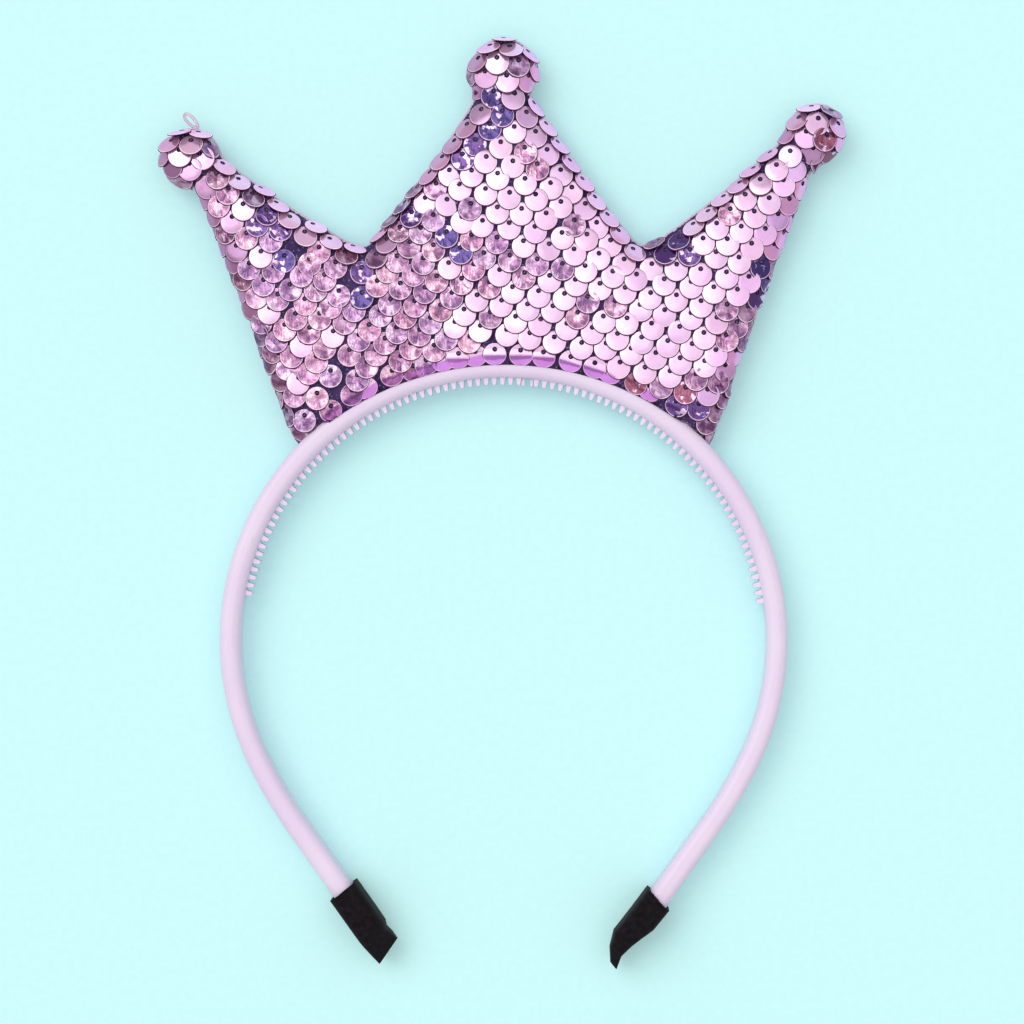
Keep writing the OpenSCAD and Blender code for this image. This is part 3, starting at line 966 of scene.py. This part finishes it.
def rest_on_pad(points, pattern, tree):
    """Lifts what would sink into the front panel back on to it."""
    out = points.copy()
    for k, point in enumerate(points):
        above = Vector((point[0], point[1], point[2] + 3.0)) * MM
        hit, normal, _, _ = tree.ray_cast(above, Vector((0.0, 0.0, -1.0)), 6.0 * MM)
        if hit is not None and normal[2] > 0.3:
            lowest = hit[2] / MM + REST_GAP + DISC_T - pattern.depths[k]
            out[k][2] = max(point[2], lowest)
    return out


def tone_of(tree):
    """What a sequin carries: in its colour its own factor, with its painted shade and reflection, and in its
    alpha 1 if it is odd.
    """
    return node(tree, "Attribute", attribute_name="sequin", attribute_type="GEOMETRY").outputs


def flat_film(tree, tone):
    """Colour of smooth film: faint clouds and fine grain, tinted by the sequin's own factor, which carries
    its painted shade.
    """
    grain = noise(tree, 1300.0, 4.0, roughness=0.7)
    cloud = math_node(tree, "MULTIPLY_ADD", grain, 0.45, noise(tree, 130.0, 3.0, roughness=0.6))
    body = ramp(tree, cloud, [(0.47, (0.65, 0.41, 0.63)), (0.93, (0.77, 0.53, 0.75))])
    return blend_colours(tree, 1.0, body, tone["Color"], "MULTIPLY")


def crumpled_film(tree, tone):
    """Colour of crumpled film: dark and pale facets painted on as the glints and shade of creased film,
    tinted by the sequin's factor with its painted shade. An odd sequin has its own colour, with pale painted
    glints in patches.
    """
    cell = node(tree, "TexVoronoi", {"Scale": 560.0, "Vector": place(tree)}).outputs["Color"]
    # random dark and pale facets, painted as the glints and shade of creased film
    facet_glint_and_shade = math_node(tree, "MULTIPLY_ADD", cell, 0.34, noise(tree, 430.0, 3.0, roughness=0.6))
    stops = [(0.50, (0.13, 0.045, 0.14)), (0.66, (0.33, 0.145, 0.285)), (0.86, (0.64, 0.43, 0.58))]
    tinted = blend_colours(tree, 1.0, ramp(tree, facet_glint_and_shade, stops), tone["Color"], "MULTIPLY")
    # pale patches painted on odd sequins as glints
    painted_glint_patches = grey_ramp(tree, noise(tree, 620.0, 2.0), [(0.58, 1.0), (0.63, 0.0)])
    odd = blend_colours(tree, painted_glint_patches, (0.80, 0.62, 0.86), tone["Color"])
    return blend_colours(tree, tone["Alpha"], tinted, odd)


def film_material(name, colouring, dent_scale, dent_height):
    """Pearly sequin film: pink metallic colour under a clear face, with soft dents."""
    made, tree, shader = material(name, IOR=2.2, Metallic=0.6, Specular_Tint=(1.0, 0.78, 0.98, 1.0))
    tree.links.new(colouring(tree, tone_of(tree)), shader.inputs["Base Color"])
    rough = grey_ramp(tree, noise(tree, 300.0, 2.0), [(0.3, 0.14), (0.7, 0.26)])
    tree.links.new(rough, shader.inputs["Roughness"])
    bump(tree, shader, noise(tree, dent_scale, 2.0), dent_height)
    return made


# Share in which a rim takes its sequin's colour factor, with that factor's painted shade
RIM_SHARE = 0.55


def rim_highlight_material():
    made, tree, shader = material("sequin_rim_painted_highlight", Roughness=0.35)
    tone = tone_of(tree)
    own = blend_colours(tree, RIM_SHARE, (1.0, 1.0, 1.0), tone["Color"])
    # pale colours painted on as a highlight along the rim, here and for odd sequins below
    pale = ramp(tree, noise(tree, 900.0), [(0.35, (0.86, 0.66, 0.80)), (0.65, (0.98, 0.86, 0.94))])
    tinted = blend_colours(tree, 1.0, pale, own, "MULTIPLY")
    colour = blend_colours(tree, tone["Alpha"], tinted, (0.80, 0.62, 0.82))
    tree.links.new(colour, shader.inputs["Base Color"])
    bump(tree, shader, noise(tree, 3000.0), 0.00002)
    return made


def back_film_and_outline_shade_material():
    # Dark back film of the reversible sequins; round the edge of each sequin's top it is a painted shadow
    # outline
    stops = [(0.3, (0.085, 0.006, 0.060)), (0.7, (0.150, 0.016, 0.115))]
    return clouded_material("sequin_back_and_painted_outline", (400.0,), stops, (600.0,), 0.00005, Roughness=0.6, IOR=1.3)[0]


# Painted shade and reflection: colour factors that darken or lighten sequins that lean right, left,
# up and down, for the light they face: while they lean a little, and when they are steep
SOFT_PAINTED_SHADES = [(0.96, 0.82, 1.07), (0.42, 0.34, 0.43), (1.60, 1.54, 1.50), (0.46, 0.37, 0.47)]
STEEP_PAINTED_SHADES = [(1.55, 1.05, 1.30), (0.78, 0.47, 0.62), (2.00, 1.40, 1.50), (0.74, 0.46, 0.62)]
# Share of that painted shade that crumpled sequins take
CRUMPLED_PAINTED_SHADE_SHARE = 0.3
# Painted shade of film that is bent down, as a colour factor
BENT_PAINTED_SHADE = (0.72, 0.40, 0.90)
# Colours of odd sequins: dark violet, and blue and reddish as painted glints
ODD_TONES = [(0.070, 0.020, 0.165), (0.030, 0.014, 0.150), (0.250, 0.060, 0.110)]


def lean_painted_shade(normal, slope):
    """Painted shade and reflection of a sequin that leans, as a colour factor: lilac to the right, mauve to
    the left, pink upwards.
    """
    shares = np.maximum([normal[0], -normal[0], normal[1], -normal[1]], 0.0) ** 2
    shares /= max(shares.sum(), 1e-9)
    upward = upward_share(normal[1] / max(np.hypot(normal[0], normal[1]), 1e-9))
    slope += (math.degrees(math.acos(min(1.0, normal[2]))) - slope) * upward
    soft = min(1.0, max(0.0, (slope - 3.0) / 25.0))
    steep = min(1.0, max(0.0, (slope - 32.0) / 26.0))
    tint = 1 + (shares @ np.array(SOFT_PAINTED_SHADES) - 1) * soft
    return tint + (shares @ np.array(STEEP_PAINTED_SHADES) - tint) * steep


def sequin_tone(sequin, rng, crumpled, points, below):
    """Colour factor at each point of a sequin: a little unlike its neighbours, with painted shade across
    it in a random direction, painted shade and reflection where it leans, and painted shade where it
    is bent down. The last number is 1 if it is odd."""
    kind = odd_kind(sequin.plan)
    tones = np.ones((len(points), 4))
    if kind is not None:
        tones[:, :3] = ODD_TONES[kind]
        return tones
    deep = rng.random()
    cool = rng.uniform(-1, 1) * (0.10 if crumpled else 0.03)
    own = np.array([1.03 - 0.10 * deep - cool, 1.08 - 0.20 * deep, 1.02 - 0.10 * deep + 0.8 * cool])
    # painted shade across each sequin, lighter to one side in a random direction
    way = rng.uniform(0, 2 * math.pi)
    across = (points[:, 0] * math.cos(way) + points[:, 1] * math.sin(way)) / DISC_R
    share = CRUMPLED_PAINTED_SHADE_SHARE if crumpled else 1.0
    # painted shade and reflection for the way the sequin leans
    own = own * (1 + share * (lean_painted_shade(sequin.normal, sequin.slope) - 1))
    # painted shade on the film that is bent down over the band
    bent = np.clip(below / 0.14, 0, 1)[:, None]
    tones[:, :3] = own * (1 + 0.05 * across)[:, None] * (1 + (np.array(BENT_PAINTED_SHADE) - 1) * bent)
    tones[:, 3] = 0.0
    return tones


def hang_angles(sequin, rng):
    """How far a sequin's free edge lifts, and how far it turns sideways, in degrees."""
    lift = max(LEAST_LIFT, rng.gauss(LIFT_DEG, LIFT_SPREAD)) + LIFT_UP * sequin.upward
    lift = EDGE_TILT if sequin.under else lift
    turn = rng.gauss(0.0, TURN_SPREAD)
    turn += rng.gauss(0.0, STEEP_TURN_SPREAD) if sequin.slope > 35 else 0
    if sequin.on_ball:
        lift += rng.uniform(0.0, BALL_LIFT)
        turn += rng.gauss(0.0, BALL_TURN)
    return lift, turn


def own_shape(sequin, pattern, rng, crumpled):
    """A sequin's points before it is laid, and how far each lies beyond the crease of the last row."""
    crumple = rng.uniform(0.08, 0.17) if crumpled else 0.0
    points = disc_shape(pattern.rows, pattern.sides, rng, crumple, rng.uniform(0.01, 0.07))
    side_tilt = rng.gauss(0.0, BALL_SIDE_TILT if sequin.on_ball else SIDE_TILT)
    points[:, 2] += points[:, 0] * math.tan(math.radians(side_tilt))
    points *= BALL_SCALE if sequin.on_ball else 1.0
    if sequin.bends:
        return bend_down(points, sequin.inward, max(sequin.depth - CREASE_DEPTH, 0.5))
    return points, np.zeros(len(points))


def follow_share(sequin):
    """How much a sequin follows the curve of the fabric: more the steeper that is, less facing up."""
    share = FOLLOW * min(1.0, (sequin.slope - 30.0) / 20.0)
    share += (FOLLOW_STEEP - FOLLOW) * min(1.0, max(0.0, (sequin.slope - 50.0) / 25.0))
    return share * (1 - STAND_OFF * sequin.upward)


def make_sequin(sequin, pattern, rng, crumpled, tree):
    """Points of one sequin in its place, and its colour factor, with painted shade, at each of them."""
    tilt, turn = hang_angles(sequin, rng)
    points, below = own_shape(sequin, pattern, rng, crumpled)
    tones = sequin_tone(sequin, rng, crumpled, points, below)
    placed = lay(points, sequin, tilt, turn)
    if sequin.slope > 30.0:
        placed = follow(points, placed, tree, follow_share(sequin), sequin.lift, tilt)
    if sequin.bends:
        placed = rest_on_pad(tuck_in(placed), pattern, tree)
    return placed, tones


def add_sequins(pad, ring):
    """Sews the sequins on: one piece with all the smooth ones, and one with the crumpled ones."""
    rng = random.Random(41)
    sequins, tree = place_sequins(pad, ring)
    flat, crumpled = Batch(), Batch()
    for sequin in sequins:
        odd = odd_kind(sequin.plan) is not None
        creased = (odd or rng.random() < crumple_share(sequin.plan)) and not sequin.under
        pattern = CRUMPLED if creased else BENT if sequin.bends else FLAT
        placed, tones = make_sequin(sequin, pattern, rng, creased, tree)
        (crumpled if creased else flat).add(pattern, placed, tones)
    rim, back = rim_highlight_material(), back_film_and_outline_shade_material()
    flat_face = film_material("sequin_film", flat_film, 260.0, 0.00004)
    crumpled_face = film_material("sequin_crushed", crumpled_film, 520.0, 0.00024)
    smooth = flat.build("sequins_flat", [flat_face, rim, back], True)
    smooth.data.set_sharp_from_angle(angle=math.radians(30.0))
    rough = crumpled.build("sequins_crumpled", [crumpled_face, rim, back], False)
    return sequins, [smooth, rough]


# Sleeves

# Sleeves: half thickness and half width, round the end of the band, as in the CAD source
SLEEVE_HALF_T = 3.45
SLEEVE_HALF_W = 5.65
BAND_MID_R = 57.5
LEG_BEND_R = 100.0
ARC_END_DEG = -26.0
LEG_END_DEG = -35.5
LEG_LEN = 23.5
SQUARENESS = 5.0
# Mesh of a sleeve: sides, rows outside and inside, wall, and step and depths of its woven ribs
SLEEVE_SIDES = 112
SLEEVE_ROWS = 150
INNER_ROWS = 8
SLEEVE_WALL = 0.85
RIB_STEP = 0.36
RIB_DEPTH = 0.035
WARP_DEPTH = 0.012
# Sections of the sleeves: place along, inner and outer edge, height, and lead of the outer edge
LEFT_FOLDS = [
    (0.00, -1.00, 1.00, 1.00, 0.02), (0.45, -1.00, 1.00, 1.00, 0.02), (0.66, -0.98, 1.00, 0.95, 0.03),
    (0.74, -0.84, 0.98, 0.86, 0.04), (0.86, -0.95, 0.92, 0.62, 0.09), (1.00, -0.98, 0.84, 0.30, 0.14),
]
RIGHT_FOLDS = [
    (0.00, -0.94, 0.96, 1.00, 0.07), (0.32, -0.98, 0.86, 1.00, 0.05), (0.50, -1.02, 0.58, 0.97, 0.03),
    (0.66, -1.06, 0.36, 0.88, 0.02), (0.84, -0.70, 0.22, 0.66, 0.00), (1.00, -0.14, 0.46, 0.30, 0.03),
]


def leg_frame(side):
    """Start of the straight end of one leg, the way across the band outwards, and the way down."""
    a = math.radians(ARC_END_DEG)
    b = math.radians(LEG_END_DEG)
    centre = (BAND_MID_R - LEG_BEND_R) * np.array([math.cos(a), math.sin(a)])
    start = centre + LEG_BEND_R * np.array([math.cos(b), math.sin(b)])
    across = np.array([math.cos(b), math.sin(b)])
    along = np.array([math.sin(b), -math.cos(b)])
    flip = np.array([side, 1.0])
    return start * flip, across * flip, along * flip


def fold_at(folds, t):
    """The section at one place along a sleeve, worked out between the listed ones."""
    places, *columns = zip(*folds)
    return [float(np.interp(t, places, column)) for column in columns]


def ribbon_material():
    stops = [(0.35, (0.0050, 0.0040, 0.0052)), (0.7, (0.0125, 0.0095, 0.0125))]
    return clouded_material("ribbon_black", (900.0, 4.0), stops, (5000.0,), 0.00004, Roughness=0.85,
                            Sheen_Weight=0.04, Sheen_Roughness=0.5, Specular_IOR_Level=0.1)[0]


def sleeve_ring(folds, t, length, shrink, ribbed):
    """One squarish ring of a sleeve, as (across the band, along it, up), drawn in by its wall or ribs."""
    inner, outer, tall, lead = fold_at(folds, t)
    ring = []
    for i in range(SLEEVE_SIDES):
        a = 2 * math.pi * i / SLEEVE_SIDES
        c, s = math.cos(a), math.sin(a)
        r = (abs(c) ** SQUARENESS + abs(s) ** SQUARENESS) ** (-1 / SQUARENESS)
        x = SLEEVE_HALF_T * (inner + (outer - inner) * (1 + r * c) / 2)
        z = SLEEVE_HALF_W * tall * r * s
        down = length * (t + lead * r * c / 2)
        depth = shrink
        if ribbed:
            weft = 1 - math.sin(2 * math.pi * down / RIB_STEP)
            warp = 1 - math.sin(2 * math.pi * (i + 0.5) / 4)
            depth = shrink + RIB_DEPTH * weft + WARP_DEPTH * warp
        x -= depth * np.sign(c) * abs(c) ** 0.4 * 0.9
        z -= depth * np.sign(s) * abs(s) ** 0.4 * 0.9
        ring.append((x, down, z))
    return ring


def ring_faces(first, rows):
    """Faces between the rings of a sleeve's points that follow each other from the first one on."""
    n = SLEEVE_SIDES
    faces = []
    for row in range(rows):
        for i in range(n):
            a, b = first + row * n + i, first + row * n + (i + 1) % n
            faces.append((a, b, b + n, a + n))
    return faces


def sleeve_faces():
    """Faces of the outside, the inside, the mouth between them and the two closed ends."""
    n = SLEEVE_SIDES
    inside = (SLEEVE_ROWS + 1) * n
    mouth = inside + INNER_ROWS * n
    faces = ring_faces(0, SLEEVE_ROWS) + ring_faces(inside, INNER_ROWS)
    faces += [(mouth + i, mouth + (i + 1) % n, (i + 1) % n, i) for i in range(n)]
    faces.append(tuple(range(inside - 1, inside - n - 1, -1)))
    faces.append(tuple(range(inside, inside + n)))
    return faces


def add_sleeve(name, side, folds, length, cover):
    """Woven ribbon sleeve: outside down to the folded end, and inside as far as it covers the band."""
    start, across, along = leg_frame(side)
    start = start + along * (LEG_LEN - cover)
    outside = [k / SLEEVE_ROWS for k in range(SLEEVE_ROWS + 1)]
    inside = [cover / length * (1 - k / INNER_ROWS) for k in range(INNER_ROWS + 1)]
    rings = [sleeve_ring(folds, t, length, 0.0, True) for t in outside]
    rings += [sleeve_ring(folds, t, length, SLEEVE_WALL, False) for t in inside]
    points = []
    for x, down, z in sum(rings, []):
        flat = start + across * x + along * down
        points.append((flat[0], flat[1], SLEEVE_HALF_W + z))
    faces = sleeve_faces()
    if side > 0:
        faces = [tuple(reversed(face)) for face in faces]
    piece = mesh_object(name, points, faces, [ribbon_material()])
    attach(piece, "root")
    return piece


# Threads

def thread_material():
    stops = [(0.3, (0.80, 0.55, 0.74)), (0.7, (0.95, 0.78, 0.90))]
    return clouded_material("thread_clear", (800.0,), stops, (4000.0,), 0.00003, Roughness=0.2, IOR=1.5,
                            Transmission_Weight=0.55)[0]


def knot_material():
    stops = [(0.35, (0.03, 0.03, 0.04)), (0.65, (0.18, 0.20, 0.20))]
    return clouded_material("thread_knot", (1500.0,), stops, (4000.0,), 0.00003, Roughness=0.4)[0]


# Loop: its middle, the way it stands up, its half length and half width, and the thread's radius
LOOP_MIDDLE = np.array([-65.9, 109.5, 6.2])
LOOP_WAY = unit([-0.70, 0.71, 0.05])
LOOP_HALF_LENGTH = 1.9
LOOP_HALF_WIDTH = 0.72
THREAD_R = 0.36
LOOP_STEPS = 28


def add_thread_loop():
    """The small loop of thread at the top of the left peak."""
    side = np.array([LOOP_WAY[1], -LOOP_WAY[0], 0.0])
    path = []
    for k in range(LOOP_STEPS):
        a = 2 * math.pi * k / LOOP_STEPS
        wide = LOOP_HALF_WIDTH * (1.0 + 0.15 * math.cos(a))
        at = LOOP_MIDDLE + LOOP_WAY * LOOP_HALF_LENGTH * math.cos(a)
        path.append(at + side * wide * math.sin(a) + UP * 0.3 * math.sin(a))
    points, faces = tube(path, THREAD_R, 10, closed=True)
    piece = mesh_object("thread_loop", points, faces, [thread_material()])
    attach(piece, "root")


# Thread in a hole: least upward part of the sequin's direction with which it is seen, its half length,
# its radius, and the places along it at which its bow is worked out
KNOT_LEAST_UP = 0.45
KNOT_HALF_LENGTH = 0.34
KNOT_R = 0.11
KNOT_STEPS = (-1, -0.5, 0, 0.5, 1)


def add_knots(sequins):
    """The thread that holds each sequin, seen in its hole where that faces up enough."""
    points, faces = [], []
    rng = random.Random(8)
    for sequin in sequins:
        spin = rng.uniform(0, math.pi)
        if sequin.normal[2] < KNOT_LEAST_UP:
            continue
        right = unit(np.cross(sequin.normal, [0.0, 1.0, 0.3]))
        up = np.cross(sequin.normal, right)
        way = right * math.cos(spin) + up * math.sin(spin)
        base = sequin.hole + sequin.normal * 0.12
        bow = [(t * KNOT_HALF_LENGTH, 0.16 - 0.3 * t * t) for t in KNOT_STEPS]
        path = [base + way * aside + sequin.normal * high for aside, high in bow]
        new_points, new_faces = tube(path, KNOT_R, 6)
        first = len(points)
        points += new_points
        faces += [tuple(first + v for v in face) for face in new_faces]
    piece = mesh_object("sequin_threads", points, faces, [knot_material()])
    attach(piece, "root")


# The part


def main():
    add_camera()
    add_floor()
    add_lights()
    dress_headband()
    ring = seam_ring()
    pad = make_pad(ring)
    sequins, films = add_sequins(pad, ring)
    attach(pad, "root")
    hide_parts("crown")
    for piece in films:
        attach(piece, "root")
    add_knots(sequins)
    add_thread_loop()
    left = add_sleeve("left_sleeve", -1, LEFT_FOLDS, 16.0, 7.2)
    right = add_sleeve("right_sleeve", 1, RIGHT_FOLDS, 17.0, 5.2)
    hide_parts("left_tip")
    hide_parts("right_tip")


main()
